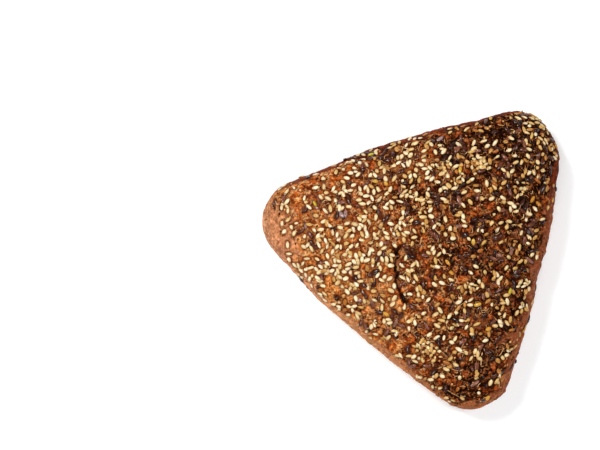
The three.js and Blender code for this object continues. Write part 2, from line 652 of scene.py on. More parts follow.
def make_patchy_group():
    """Brightens and darkens a colour in soft patches of one size."""
    tree, given, result = new_group(
        "patchy",
        [
            ("Color", "NodeSocketColor", (1, 1, 1, 1)),
            ("Vector", "NodeSocketVector", None),
            ("Size", "NodeSocketFloat", 5 * MM),
            ("Strength", "NodeSocketFloat", 0.3),
        ],
        [("Color", "NodeSocketColor")],
    )
    scale = tree.math("DIVIDE", 1.0, given["Size"])
    cloud = tree.node("ShaderNodeTexNoise", Vector=given["Vector"], Scale=scale, Detail=3.0)
    centred = tree.math("SUBTRACT", cloud.outputs[0], 0.5)
    swing = tree.math("MULTIPLY", centred, given["Strength"])
    factor = tree.math("MULTIPLY_ADD", swing, PATCHY_SWING, 1.0)
    tree.join(tree.vector_math("SCALE", given["Color"], factor), result["Color"])
    print("patchy:", len(tree.tree.nodes), "nodes")
    return tree.tree


PATCHY = make_patchy_group()


# %% [markdown]
# ## The crust's finish
# The crust browns unevenly, and painted light from the left and the near side lies over that. The
# blunt tip is pale and pinkish, the near side is orange brown, and the far corner is nearly burnt,
# partly from browning and partly as painted light and shade. Hollows and the gaps beside seeds, where
# syrup and scorched meal gather, are painted dark as shade, and so are the fold and the cracks.
# Ridges are painted paler, as painted highlight. The smooth skin on the sides has few seeds and bakes
# to a plainer red brown. One material holds it all. It is built in layers, each in a function of its
# own: the shared patterns, the browning with its painted light, the seeded top, the bare skin, and
# the painted shade.

# %% Patterns that the crust's layers share
BROAD = 13 * MM  # sizes of the patches in which the oven browns
MIDDLING = 3.6 * MM
FINE = 1.3 * MM
PATCH_EDGES = (0.36, 0.64)  # where in the noise a patch begins and is full
FINE_EDGES = (0.34, 0.66)
SMALL_FLECK = 0.9 * MM
LARGE_FLECK = 2.0 * MM
STRAND = 2.8 * MM
CRACK = 1.5 * MM
CRACKS_FROM = (1, 2, 3)  # metres: the cracks follow another part of the noise than the strands


def slant(tree, layer, middle, per_x, per_y, clamp=False):
    """A value that changes evenly across the roll, by so much a metre."""
    value = tree.math("MULTIPLY_ADD", layer.x, per_x, middle)
    return tree.math("MULTIPLY_ADD", layer.y, per_y, value, clamp=clamp)


def crust_patterns(tree, where):
    """The values that the crust's layers share, by name."""
    layer = SimpleNamespace(where=where)
    layer.x, layer.y, layer.height = tree.node("ShaderNodeSeparateXYZ", Vector=where).outputs
    for title in ("stands_out", "bareness", "by_seed", "fold"):
        setattr(layer, title, tree.stored(title))
    # How near a place lies to the left and the near side. The paler colours that follow it are partly
    # painted light from there.
    layer.nearness = slant(tree, layer, middle=0.45, per_x=-8.5, per_y=-5.0, clamp=True)
    layer.broad = tree.between(tree.noise(where, BROAD), *PATCH_EDGES)
    layer.middling = tree.between(tree.noise(where, MIDDLING), *PATCH_EDGES)
    layer.fine = tree.between(tree.noise(where, FINE, detail=4.0), *FINE_EDGES)
    layer.small = tree.group(FLECKS, Vector=where, Size=SMALL_FLECK, Share=0.42, Reach=0.5)
    layer.large = tree.group(FLECKS, Vector=where, Size=LARGE_FLECK, Share=0.4, Reach=0.42)
    layer.strands = tree.group(STRANDS, Vector=where, Size=STRAND, Width=0.05)["Mask"]
    elsewhere = tree.vector_math("ADD", where, CRACKS_FROM)
    layer.cracks = tree.group(STRANDS, Vector=elsewhere, Size=CRACK, Width=0.07)["Mask"]
    return layer


# %% How far each place is baked, with painted light from the left and near side, and on ridges
SPOTS = [  # place and reach in mm, and how much darker, or paler below 0
    ((22, -50, 20), 18, 0.45),
    ((37, 46, 24), 19, 0.35),
    ((48, 5, 26), 16, 0.20),
    ((-1, 25, 33), 10, 0.22),
    ((-28, -7, 30), 19, -0.36),
    ((-12, -20, 31), 17, -0.42),
    ((-12, 9, 33), 12, -0.25),
    ((-33, 25, 28), 11, 0.15),
    ((4, 41, 31), 10, -0.30),
]
SPOT_CORE = 0.3  # the share of a spot's reach where it is full
TIP_NEARNESS = (0.66, 0.95)  # where the pale tip begins and is full
PALE_TIP = -0.35
PATTERN_OFFSET = 0.17  # takes back part of what the patterns add
# Ridges are painted paler and hollows darker: painted highlight and painted shade.
RIDGE_HIGHLIGHT = -0.6  # how much paler a ridge is than a hollow


def browning_and_light(tree, layer):
    """How brown the top is, from 0, golden, to 1, nearly burnt, with painted light: its even part, and
    all of it.
    """
    # The even part is paler to the left and the near side, partly from browning and partly as painted
    # light.
    even = slant(tree, layer, middle=0.43, per_x=8.0, per_y=2.2)
    even = tree.math("MULTIPLY_ADD", tree.between(layer.nearness, *TIP_NEARNESS), PALE_TIP, even)
    for spot, reach, extra in SPOTS:
        away = tree.vector_math("DISTANCE", layer.where, Vector(spot) * MM)
        close = tree.between(away, reach * MM, SPOT_CORE * reach * MM)
        even = tree.math("MULTIPLY_ADD", close, extra, even)
    brown = tree.math("SUBTRACT", even, PATTERN_OFFSET)
    for pattern, share in ((layer.broad, 0.34), (layer.middling, 0.5), (layer.fine, 0.42)):
        brown = tree.math("MULTIPLY_ADD", pattern, share, brown)
    return even, tree.math("MULTIPLY_ADD", layer.stands_out, RIDGE_HIGHLIGHT, brown, clamp=True)


print("darker and paler spots:", len(SPOTS))

# %% The seeded top: browned dough, flecks of bran, pale threads partly painted highlight, and cracks painted dark as shade
BROWNING_COLOURS = [
    (0.0, rgb(226, 140, 70)),
    (0.22, rgb(200, 106, 42)),
    (0.45, rgb(168, 76, 26)),
    (0.7, rgb(104, 38, 13)),
    (1.0, rgb(28, 9, 4)),
]
SMALL_FLECK_COLOURS = [
    (0.0, rgb(30, 10, 5)),
    (0.6, rgb(140, 58, 18)),
    (0.9, rgb(206, 132, 66)),
    (1.0, rgb(240, 186, 120)),
]
LARGE_FLECK_COLOURS = [(0.0, rgb(28, 9, 4)), (0.6, rgb(150, 66, 22)), (1.0, rgb(204, 128, 62))]
# The pale threads are partly husk and dried syrup and partly painted highlight along the glaze's
# ridges.
THREAD_HIGHLIGHT_COLOURS = (rgb(246, 192, 128), rgb(196, 116, 60))  # on golden and on brown crust
THREAD_TURNS = (0.2, 0.8)  # how brown the crust is where the one gives way to the other


def flecked(tree, colour, flecks, share, colours):
    """A colour with flecks over it, each in a colour by its own tone."""
    return tree.over(colour, flecks["Mask"], share, tree.ramp(flecks["Tone"], colours))


def seeded_top(tree, layer, even, brown, painted_shade_colour):
    """The colour of the crust between the seeds."""
    colour = tree.ramp(brown, BROWNING_COLOURS)
    colour = flecked(tree, colour, layer.large, 0.65, LARGE_FLECK_COLOURS)
    colour = flecked(tree, colour, layer.small, 0.75, SMALL_FLECK_COLOURS)
    thread_and_highlight = tree.mix(tree.between(even, *THREAD_TURNS), *THREAD_HIGHLIGHT_COLOURS)
    colour = tree.over(colour, layer.strands, 0.75, thread_and_highlight)
    # The cracks are painted dark, as painted shade.
    return tree.over(colour, layer.cracks, 0.75, painted_shade_colour)


# %% The bare skin of the sides and the blunt tip, with painted light from the left and near side
SKIN_COLOURS = [
    (0.0, rgb(166, 88, 52)),
    (0.4, rgb(160, 84, 48)),
    (0.6, rgb(188, 108, 62)),
    (0.78, rgb(228, 158, 104)),
    (1.0, rgb(222, 162, 130)),
]
SKIN_PATCHES = [(5 * MM, 0.35), (1.2 * MM, 0.6)]  # size and strength
UPPER = (15 * MM, 24 * MM)  # the height at which the side starts to brown, and where it is brown
FAR = (15 * MM, 35 * MM)  # the same, towards the far side
FAR_UPPER = (4 * MM, 15 * MM)  # and upwards on the far side


def bare_skin(tree, layer):
    """The colour of the skin where no seeds lie."""
    # Paler and pinker towards the left and the near side, partly as painted light.
    skin = tree.ramp(layer.nearness, SKIN_COLOURS)
    for size, strength in SKIN_PATCHES:
        skin = tree.group(PATCHY, Color=skin, Vector=layer.where, Size=size, Strength=strength)["Color"]
    skin = flecked(tree, skin, layer.small, 0.55, SMALL_FLECK_COLOURS)
    # Pale threads, partly painted highlight, and cracks painted darker, as painted shade.
    skin = tree.over(skin, layer.strands, 0.35, rgb(232, 180, 138))
    skin = tree.over(skin, layer.cracks, 0.4, rgb(128, 62, 36))
    # The upper side is browner, and paler towards the left and near side, partly as painted light.
    upper_colour = tree.mix(layer.nearness, rgb(96, 38, 16), rgb(190, 112, 66))
    skin = tree.over(skin, tree.between(layer.height, *UPPER), 0.45, upper_colour)
    # The far side is darker, partly from browning and partly as painted shade.
    far = tree.math("MULTIPLY", tree.between(layer.y, *FAR), tree.between(layer.height, *FAR_UPPER))
    far_colour = tree.mix(layer.middling, rgb(128, 48, 16), rgb(80, 27, 9))
    return tree.over(skin, far, 0.9, far_colour)


# %% The base, paler and dusty where it lay on the tray
def tray_side(tree, layer):
    """The colour of the flat base."""
    colour = tree.mix(layer.middling, rgb(150, 88, 46), rgb(112, 58, 28))
    return tree.over(colour, layer.fine, 0.3, rgb(196, 144, 98))


# %% Where the layers meet, and the painted shade in hollows, beside seeds and in the fold
TIP_AT = (-58, 10, 17)  # the middle of the bare tip, mm
BASE_EDGE = (4.5 * MM, 0.8 * MM)
TIP_EDGE = (24 * MM, 9 * MM)
RAGGED_EDGE = (0.45, 0.95)  # where the seeded top's colour gives way to the skin's
# The painted shade's colour, from brown to nearly black as the crust browns.
PAINTED_SHADE_TURNS = (0.15, 0.65)  # how brown the crust is where its shade turns from brown to black
PAINTED_SHADES = (rgb(96, 38, 12), rgb(22, 7, 3))
# The fold is painted nearly black, as painted shade.
FOLD_PAINTED_SHADE = rgb(14, 5, 3)
# Hollows are painted darker, as painted shade.
HOLLOW = (0.5, 0.1)  # how far the crust stands out where a hollow begins, and where it is deep
HOLLOW_PAINTED_SHADE = 0.75
# Beside a seed the crust is painted dark: partly syrup and partly painted shade.
SYRUP_AND_SHADE = (0.35, 0.6)  # how much thicker syrup is in a patch, and how thick outside one
SYRUP_AND_SHADE_ON_SKIN = (-0.6, 1.0)  # how much thinner it is on bare skin, and its share elsewhere


def bare_or_seeded(tree, layer, top, skin):
    """The seeded top's colour above and the bare skin's below, with a ragged edge."""
    tip_away = tree.vector_math("DISTANCE", layer.where, Vector(TIP_AT) * MM)
    bare = tree.math("MAXIMUM", layer.bareness, tree.between(tip_away, *TIP_EDGE))
    bare = tree.math("MULTIPLY_ADD", layer.middling, 0.4, bare)
    return tree.mix(tree.between(bare, *RAGGED_EDGE), top, skin)


def shaded(tree, layer, colour, painted_shade_colour):
    """A colour darkened by painted shade in hollows, beside seeds where syrup also gathers, and in the
    fold.
    """
    hollow = tree.math("MULTIPLY", tree.between(layer.stands_out, *HOLLOW), HOLLOW_PAINTED_SHADE)
    syrup_and_shade = tree.math("MULTIPLY", layer.by_seed, tree.math("MULTIPLY_ADD", layer.middling, *SYRUP_AND_SHADE))
    by_skin = tree.math("MULTIPLY_ADD", layer.bareness, *SYRUP_AND_SHADE_ON_SKIN)
    syrup_and_shade = tree.math("MULTIPLY", syrup_and_shade, by_skin)
    colour = tree.mix(tree.math("MAXIMUM", hollow, syrup_and_shade), colour, painted_shade_colour)
    return tree.mix(layer.fold, colour, FOLD_PAINTED_SHADE)


# %% The crust's material
BUMP_SIZE = 0.8 * MM
BUMP_DEPTH = 0.45 * MM
STRANDS_STAND = 0.6  # how far a strand stands up, and a crack goes down
GLOSS_SIZE = 1.1 * MM  # of the spots that shine
GLOSS_EDGES = (0.52, 0.66)  # where in the noise a spot begins and is full
ROUGHNESS = (-0.12, 0.40)  # the change from one broad patch to the next, and the roughest
COAT = (0.16, 0.02)  # what a spot adds to the coat, and the coat elsewhere


def crust_material():
    """The whole finish of the crust."""
    material, tree, shader, where = new_material("crust_baked")
    layer = crust_patterns(tree, where)
    even, brown = browning_and_light(tree, layer)
    painted_shade_colour = tree.mix(tree.between(even, *PAINTED_SHADE_TURNS), *PAINTED_SHADES)
    top = seeded_top(tree, layer, even, brown, painted_shade_colour)
    skin = bare_skin(tree, layer)
    skin = tree.mix(tree.between(layer.height, *BASE_EDGE), skin, tray_side(tree, layer))
    colour = shaded(tree, layer, bare_or_seeded(tree, layer, top, skin), painted_shade_colour)

    height = tree.noise(where, BUMP_SIZE, detail=4.0)
    height = tree.math("MULTIPLY_ADD", layer.strands, STRANDS_STAND, height)
    height = tree.math("MULTIPLY_ADD", layer.cracks, -STRANDS_STAND, height)
    bump = tree.node("ShaderNodeBump", Strength=1.0, Distance=BUMP_DEPTH, Height=height)
    gloss = tree.between(tree.noise(where, GLOSS_SIZE, detail=2.0), *GLOSS_EDGES)
    tree.join(colour, shader.inputs["Base Color"])
    tree.join(tree.math("MULTIPLY_ADD", layer.broad, *ROUGHNESS), shader.inputs["Roughness"])
    tree.join(tree.math("MULTIPLY_ADD", gloss, *COAT), shader.inputs["Coat Weight"])
    tree.join(bump.outputs[0], shader.inputs["Normal"])
    shader.inputs["Specular IOR Level"].default_value = 0
    shader.inputs["Coat Roughness"].default_value = 0.2
    print("crust finish:", len(tree.tree.nodes), "nodes")
    return material


crust.data.materials.clear()
crust.data.materials.append(crust_material())


# %% [markdown]
# ## Shapes of the toppings
# Each kind of topping is modelled once and then copied over the crust. All lie flat along X, with
# their middle at the origin. A copy has only a few dozen faces, because there are hundreds.

# %% Reshape a small mesh in edit mode
def reshape(obj, chosen, scale=None, move=None):
    """Scales about the origin, or moves, the vertices for which chosen is true."""
    use(obj)
    for vertex in obj.data.vertices:
        vertex.select = bool(chosen(vertex.co))
    bpy.ops.object.mode_set(mode="EDIT")
    bpy.ops.mesh.select_mode(type="VERT")
    if scale:
        bpy.ops.transform.resize(value=scale, center_override=(0, 0, 0))
    if move:
        bpy.ops.transform.translate(value=move)
    bpy.ops.object.mode_set(mode="OBJECT")


def everywhere(co):
    return True


# %% [markdown]
# ### A seed
# Sesame and linseed are flat drops: round at one end, pointed at the other, and thickest near the
# round end. A sphere is scaled narrower in steps towards one end, its last vertices there are
# pulled out to a tip, and the top and bottom are pressed flat. A lathed profile would be round all
# over, and these seeds aren't.

# %% Model a seed
SEED_SEGMENTS = 10
SEED_RINGS = 6
WIDEST = 0.05  # places along a seed that is 1 long, measured from its middle
NECK = 0.2
POINT = 0.48
FLAT_FROM = 0.4  # how high up it is pressed flat


def model_seed(name, size, tip, narrow, flatness):
    """A flat drop-shaped seed that lies along X, with its tip at +X."""
    bpy.ops.object.select_all(action="DESELECT")
    bpy.ops.mesh.primitive_uv_sphere_add(segments=SEED_SEGMENTS, ring_count=SEED_RINGS, radius=0.5)
    seed = bpy.context.object
    seed.name = name
    reshape(seed, lambda co: co.x > WIDEST, scale=(1, (1 + narrow) / 2, 1))
    reshape(seed, lambda co: co.x > NECK, scale=(1, narrow, 1))
    reshape(seed, lambda co: co.x < -NECK, scale=(1, 1.12, 1))
    reshape(seed, lambda co: co.x > POINT, move=(tip, 0, 0))
    reshape(seed, lambda co: abs(co.z) > FLAT_FROM, scale=(1.2, 1.2, 1 - 0.3 * flatness))
    reshape(seed, lambda co: math.hypot(co.x, co.y) < 0.01, scale=(1, 1, 1 - 0.25 * flatness))
    reshape(seed, everywhere, move=(-tip / 2, 0, 0))
    reshape(seed, everywhere, scale=(size[0] / (1 + tip), size[1], size[2]))
    return seed


# %% [markdown]
# ### A crumb
# Cracked grain and crumbs of meal have no shape of their own. A ball of triangles is the right
# start, because it has no poles, and moving its vertices at random makes it ragged. Several are
# made, each from another seed number, so that neighbours differ.

# %% Model a crumb
def model_crumb(name, size, divisions, ragged, seed_number):
    """A ragged little lump."""
    bpy.ops.object.select_all(action="DESELECT")
    bpy.ops.mesh.primitive_ico_sphere_add(subdivisions=divisions, radius=0.5)
    crumb = bpy.context.object
    crumb.name = name
    bpy.ops.object.mode_set(mode="EDIT")
    bpy.ops.transform.vertex_random(offset=ragged, seed=seed_number)
    bpy.ops.object.mode_set(mode="OBJECT")
    reshape(crumb, everywhere, scale=size)
    return crumb


# %% [markdown]
# ### A shred
# Bran comes off the grain in thin curled shavings. A small triangle is spun part of the way round,
# which gives a closed bent bar of a few faces. A bevelled curve gives the same, with more faces.

# %% Model a shred
SHRED_STEPS = 5


def model_shred(name, radius, angle, thickness):
    """A thin curled shred: a triangle spun part of the way round."""
    bpy.ops.object.select_all(action="DESELECT")
    bpy.ops.mesh.primitive_circle_add(
        vertices=3,
        radius=thickness,
        fill_type="NGON",
        location=(radius, 0, 0),
        rotation=(math.pi / 2, 0, 0),
    )
    shred = bpy.context.object
    shred.name = name
    bpy.ops.object.transform_apply(location=True, rotation=True)
    bpy.ops.object.mode_set(mode="EDIT")
    bpy.ops.mesh.select_all(action="SELECT")
    bpy.ops.mesh.duplicate()
    bpy.ops.mesh.spin(steps=SHRED_STEPS, angle=angle, center=(0, 0, 0), axis=(0, 0, 1))
    bpy.ops.mesh.select_all(action="SELECT")
    bpy.ops.mesh.remove_doubles(threshold=thickness / 10)
    bpy.ops.mesh.normals_make_consistent(inside=False)
    bpy.ops.transform.translate(value=(-radius * math.sin(angle) / angle, 0, 0))
    bpy.ops.object.mode_set(mode="OBJECT")
    return shred


# %% [markdown]
# ## Where toppings may lie
# Toppings are placed by the crust's faces: a face is drawn at random, more often where it is large
# and where the topping lies thickly. So the script keeps each face's middle, area and direction.

# %% The crust's faces
def corners_of(mesh):
    """The vertex at each face corner."""
    return values_of(mesh.loops, "vertex_index", np.int32)


centres = vectors_of(crust.data.polygons, "center")
face_areas = values_of(crust.data.polygons, "area")
first_corner = values_of(crust.data.polygons, "loop_start", np.int32)
corner_vertex = corners_of(crust.data)
face_normals = smooth_normals[corner_vertex[first_corner]]
above_base = centres[:, 2] > BASE_FADE
print("top and sides, cm2:", round(float(face_areas[above_base].sum()) * 1e4))

# %% [markdown]
# ## A flat map of the crust
# Other programs keep the crust's colours in an image, and that needs a flat map. An automatic
# unwrap cuts so lumpy a mesh into thousands of scraps. The roll is a dome on a flat base, so two
# discs do better: one for the top and sides, pressed outwards, and one for the base.

# %% Two discs
TOP_DISC = (0.37, 0.36)  # where its middle lies, on both axes, and its radius
BASE_DISC = (0.79, 0.20)
BASE_FACES = -0.5  # a face whose normal falls below this is on the base's disc


def add_map(mesh, flat_places):
    """Gives a mesh a UV map, from a place for each face corner."""
    layer = mesh.uv_layers.new(name="OFBake")
    layer.data.foreach_set("uv", flat_places.astype(np.float32).ravel())


def on_disc(down, middle, radius):
    """Places on a disc: the further out and down on the crust, the further from its middle."""
    across = np.hypot(places[:, 0], places[:, 1])
    reach = across + down
    outward = places[:, :2] / np.maximum(across, 0.01 * MM)[:, None]
    return middle + outward * (reach / reach.max() * radius)[:, None]


face_sides = np.diff(np.append(first_corner, len(corner_vertex)))
faces_down = face_normals[:, 2] < BASE_FACES
on_base = np.repeat(faces_down, face_sides)
top_places = on_disc(roll_height - places[:, 2], *TOP_DISC)[corner_vertex]
base_places = on_disc(0, *BASE_DISC)[corner_vertex]
add_map(crust.data, np.where(on_base[:, None], base_places, top_places))
print("faces on the base:", int(faces_down.sum()))

# %% [markdown]
# ## How thickly the toppings lie
# The wet top is pressed into a tray of seeds, so they lie in clumps, thickest on the top and
# thinnest on the sides, and none lie in the fold. Noise makes the clumps. Some stretches are
# richer or barer than chance would make them, so each topping also has a list of patches.

# %% A density for each face
CLUMP = 5 * MM
CLUMPING = 2.4
ON_SIDES = 0.07  # how thickly they lie on the sides, next to the top
LOWEST_SEED = 6 * MM
STEEPEST = -0.2  # no topping lies where the skin's normal falls below this
BARE_BY_FOLD = (0.3 * MM, 1.1 * MM)  # beyond the fold, where seeds start and are as many as elsewhere

face_bareness = bareness(centres, face_normals)
on_sides = (face_normals[:, 2] > STEEPEST) & (centres[:, 2] > LOWEST_SEED)
density = np.maximum(1 - face_bareness, np.where(on_sides, ON_SIDES, 0))
clumps = np.array([noise.noise(Vector(centre) / CLUMP) for centre in centres])
density *= np.exp(CLUMPING * clumps)
density *= np.clip(np.interp(from_fold(centres)[1], BARE_BY_FOLD, (0, 1)), 0, 1)
print("faces that may hold a seed:", int((density > 0).sum()))

# %% Richer and barer patches: x, y and reach in mm, and the factor at the patch's middle
BARE_PATCHES = [
    (-57, 9, 11, 0.03),
    (-55, 1, 8, 0.2),
    (-45, 28, 4, 0.2),
    (-39, 32, 4, 0.2),
    (-33, 35, 4, 0.3),
    (8, 53, 5, 0.15),
    (17, 56, 5, 0.1),
    (26, 59, 5, 0.1),
    (34, 61, 5, 0.15),
    (24, -60, 9, 0.1),
]
SESAME_PATCHES = BARE_PATCHES + [
    (-12, 8, 9, 2.0),
    (-30, -5, 11, 2.8),
    (36, 53, 8, 0.25),
    (16, -44, 14, 0.5),
    (24, -54, 9, 0.2),
    (20, 52, 6, 0.3),
    (54, 54, 7, 4.5),
    (57, 44, 5, 3.0),
    (4, 41, 9, 2.9),
    (-8, -34, 10, 0.6),
    (48, 12, 12, 0.55),
    (28, -1, 10, 0.6),
    (-6, 30, 11, 1.7),
    (-29, 27, 8, 1.5),
    (-23, 4, 9, 1.6),
    (36, 38, 9, 0.6),
]
LINSEED_PATCHES = BARE_PATCHES + [
    (36, 40, 12, 2.6),
    (-15, -12, 11, 2.8),
    (-8, 24, 7, 1.8),
    (-40, 12, 8, 1.8),
    (46, 0, 10, 2.2),
    (30, -48, 9, 1.6),
    (-6, 31, 8, 0.4),
]
GRAIN_PATCHES = [
    (26.3, 37.6, 2.6, 60),
    (21.4, 38.8, 2.2, 50),
    (10.4, 38.8, 2.8, 50),
    (3.9, -34.7, 2.8, 60),
    (8.8, -36.7, 2.4, 40),
    (18, 31, 2.5, 40),
    (2, 22, 2.5, 30),
    (-28, -10, 2.5, 25),
    (-36, 8, 2.5, 25),
    (38, 8, 3, 30),
    (24, -12, 2.5, 30),
    (30, 16, 2.5, 30),
    (-14, 12, 2.2, 25),
    (12, -24, 2.5, 30),
    (44, 30, 2.5, 30),
]


def gather(thickness, patches):
    """Multiplies a density near each patch."""
    for x, y, reach, factor in patches:
        away = np.hypot(centres[:, 0] / MM - x, centres[:, 1] / MM - y)
        thickness = thickness * (1 + (factor - 1) * np.exp(-((away / reach) ** 2)))
    return thickness


print("patches:", len(SESAME_PATCHES), len(LINSEED_PATCHES), len(GRAIN_PATCHES))

# %% [markdown]
# ## Draw the places
# A particle system could scatter the seeds, but it takes no heed of those that already lie there.
# So the places are drawn by dart throwing: a random face is kept only if it has room. A seed that
# has a little less room than its length is lifted. It may still cut into its neighbour, which
# looks like one seed lying partly over another.

# %% Dart throwing
CANDIDATES = 8  # how many faces are tried for each topping wanted

DRAW_NUMBER = 7  # the seed number for drawing places, turns, sizes and tones

rng = np.random.default_rng(DRAW_NUMBER)
taken_places = np.empty((0, 3))
taken_reach = np.empty(0)


def draw(count, thickness):
    """Random faces of the crust, more of them where the density is higher."""
    chance = face_areas * thickness
    return rng.choice(len(centres), size=count, p=chance / chance.sum())


def scatter(count, reach, thickness, crowd):
    """Faces with room for count toppings of that reach, and how far each lies over another."""
    global taken_places, taken_reach
    kept = []
    for face in draw(count * CANDIDATES, thickness):
        if len(kept) == count:
            break
        room = np.linalg.norm(taken_places - centres[face], axis=1) / (taken_reach + reach)
        nearest = room.min() if len(room) else crowd
        if nearest < crowd:
            continue
        kept.append((face, max(0.0, 1.0 - nearest)))
        taken_places = np.vstack([taken_places, centres[face]])
        taken_reach = np.append(taken_reach, reach)
    return kept


# %% Seeds that show on the outline
EDGE_SEEDS = [  # x and y in mm, and how far each stands up
    (-26, 40, 0.25),
    (-22.5, 41, 0.25),
    (-16, 43, 0.25),
    (60, 29, 0.0),
    (57, 20, 0.0),
    (54, 3, 0.0),
    (49, -24, 0.0),
    (41, -42, 0.0),
]
OUTLINE_HEIGHT = 15  # mm
HEIGHT_MATTERS = 0.2  # how much a wrong height counts, next to a wrong place


def edge_face(x, y):
    """The crust's face nearest to a place on the outline, at the height where a seed shows."""
    away = np.hypot(centres[:, 0] / MM - x, centres[:, 1] / MM - y)
    too_high = np.abs(centres[:, 2] / MM - OUTLINE_HEIGHT)
    return int(np.argmin(away + HEIGHT_MATTERS * too_high))


# %% Draw the larger toppings
GRAINS = 140
LINSEEDS = 225
SESAME_SEEDS = 740
GOLDEN_LINSEEDS = 34
IN_PATCHES = 0.9  # the share of the even cover that is left out, so that grain keeps to its patches

grain_density = gather(density, GRAIN_PATCHES) - density * IN_PATCHES
linseed_density = gather(density, LINSEED_PATCHES)
sesame_density = gather(density, SESAME_PATCHES)
golden_density = gather(density, BARE_PATCHES[:1])
grain_places = scatter(GRAINS, 0.8 * MM, grain_density, crowd=0.6)
linseed_places = [(edge_face(x, y), over) for x, y, over in EDGE_SEEDS]
linseed_places += scatter(LINSEEDS, 1.5 * MM, linseed_density, crowd=0.55)
sesame_places = scatter(SESAME_SEEDS, 1.1 * MM, sesame_density, crowd=0.66)
golden_places = scatter(GOLDEN_LINSEEDS, 1.3 * MM, golden_density, crowd=0.55)
print("scattered:", len(grain_places), len(linseed_places), len(sesame_places), len(golden_places))


# %% [markdown]
# ## Lay the copies
# A seed lies flat on the lumps under it, turned any way, a little tilted and sunk into the dough.
# The mean place and direction of the crust around it give its bed. All copies of one kind become
# one mesh, each copy with its own vertices, because a thousand objects are slow to handle. Each
# keeps a tone of its own, for its material: the further to the right it lies, the darker it is
# likely to be, as the crust there is, partly from browning and partly as painted shade. It also
# keeps how near each vertex is to its rim and its tip.

# %% A topping's bed and matrix
crust_tree = KDTree(len(places))
for index, place in enumerate(places):
    crust_tree.insert(place, index)
crust_tree.balance()
crust_normals = normals_of(crust)

FACE_SHARE = 0.6  # how much the face's own direction counts in the bed's
OVER_HEIGHT = 1.6 * MM  # how high a seed lies that is fully over another
TIPPED_SHARE = 0.15  # the share that lie twice as tilted
SIDE_TILT = 0.2  # how tilted they are on an upright side, next to the top


def bed(face, reach):
    """The crust's mean height and direction around a face."""
    indices = [found[1] for found in crust_tree.find_range(centres[face], reach)]
    up = crust_normals[indices].mean(0) + FACE_SHARE * face_normals[face]
    return Vector(places[indices].mean(0)), Vector(up).normalized()


def lay(face, reach, tilt, lift, scale, over):
    """A copy's matrix: flat on the crust, spun at random, tilted a little, lifted or sunk."""
    middle, up = bed(face, reach)
    along = Matrix.Rotation(rng.uniform(0, 2 * math.pi), 3, up) @ up.orthogonal().normalized()
    flat = Matrix((along, up.cross(along), up)).transposed()
    tilt *= (2 if rng.random() < TIPPED_SHARE else 1) * max(up.z, SIDE_TILT)
    lean = Matrix.Rotation(rng.normal(0, tilt), 3, "Y") @ Matrix.Rotation(rng.normal(0, tilt), 3, "X")
    turned = flat @ lean @ Matrix.Diagonal(Vector(scale))
    return Matrix.Translation(middle + up * (lift + over * OVER_HEIGHT)) @ turned.to_4x4()


def lay_all(found, reach, tilt, lift, spread, least=0.75, most=1.25):
    """A matrix for each face that was drawn. Spread says how much the copies differ in size."""
    laid = []
    for face, over in found:
        scale = rng.normal(1, spread, 3).clip(least, most)
        laid.append(lay(face, reach, tilt, lift, scale, over))
    return laid


# %% Many copies in one mesh
CELL_FILLED = 0.45  # how far a copy reaches from the middle of its square in the flat map
# Tones darken to the right, partly from browning and partly as painted shade.
TOASTING_AND_SHADE = 13  # how fast tones darken towards the right, by the metre


def prepare(seed):
    """A shape's vertices and faces, and how near each vertex is to the rim and the tip."""
    template = points_of(seed)
    corners = [tuple(face.vertices) for face in seed.data.polygons]
    half = np.abs(template).max(0)
    rim = np.hypot(template[:, 0] / half[0], template[:, 1] / half[1]).clip(0, 1)
    along = template[:, 0] / half[0] * 0.5 + 0.5
    bpy.data.objects.remove(seed)
    return template, corners, rim, along


def copies(name, seeds, matrices, material):
    """One piece that holds a copy of one of the shapes for each matrix, each with its own tone."""
    shapes = [prepare(seed) for seed in seeds]
    vertices, faces, tones, rims, alongs, squares = [], [], [], [], [], []
    grid = math.ceil(math.sqrt(len(matrices)))
    for number, matrix in enumerate(matrices):
        template, corners, rim, along = shapes[number % len(shapes)]
        start = len(tones)
        square = np.array([number % grid, number // grid]) + 0.5
        squares.append((square + CELL_FILLED * template[:, :2] / np.abs(template[:, :2]).max()) / grid)
        vertices += (template @ np.array(matrix.to_3x3()).T + np.array(matrix.translation)).tolist()
        faces += [tuple(v + start for v in face) for face in corners]
        toast_and_shade = math.exp(TOASTING_AND_SHADE * matrix.translation.x)
        tones += [rng.random() ** toast_and_shade] * len(template)
        rims += rim.tolist()
        alongs += along.tolist()
    mesh = bpy.data.meshes.new(name)
    mesh.from_pydata(vertices, [], faces)
    for title, values in (("tone", tones), ("rim", rims), ("along", alongs)):
        store(mesh, title, np.array(values))
    add_map(mesh, np.vstack(squares)[corners_of(mesh)])
    mesh.materials.append(material)
    piece = bpy.data.objects.new(name, mesh)
    bpy.context.scene.collection.objects.link(piece)
    use(piece)
    bpy.ops.object.shade_smooth()
    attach(piece, "root")
    print(name, len(matrices), "copies,", len(mesh.polygons), "faces")


# %% [markdown]
# ## Skin of the toppings
# Every topping is baked to its own shade, so its colour runs through a few tones from copy to copy.
# A seed is darker at its rim, partly where syrup gathers and partly as painted shade where it turns
# down into the crust, and some are darker at the tip. Linseed shines and grain doesn't, which the
# coat decides. One function makes all these skins, because they differ only in numbers and colours.

# %% A skin for one kind of topping
MOTTLE = 1.0 * MM  # the size of the patches and of the grit on a topping
WRINKLES = 0.4 * MM
WRINKLE_DEPTH = 0.08 * MM
GRIT_COLOURS = [(0.0, rgb(104, 56, 24)), (1.0, rgb(250, 232, 190))]


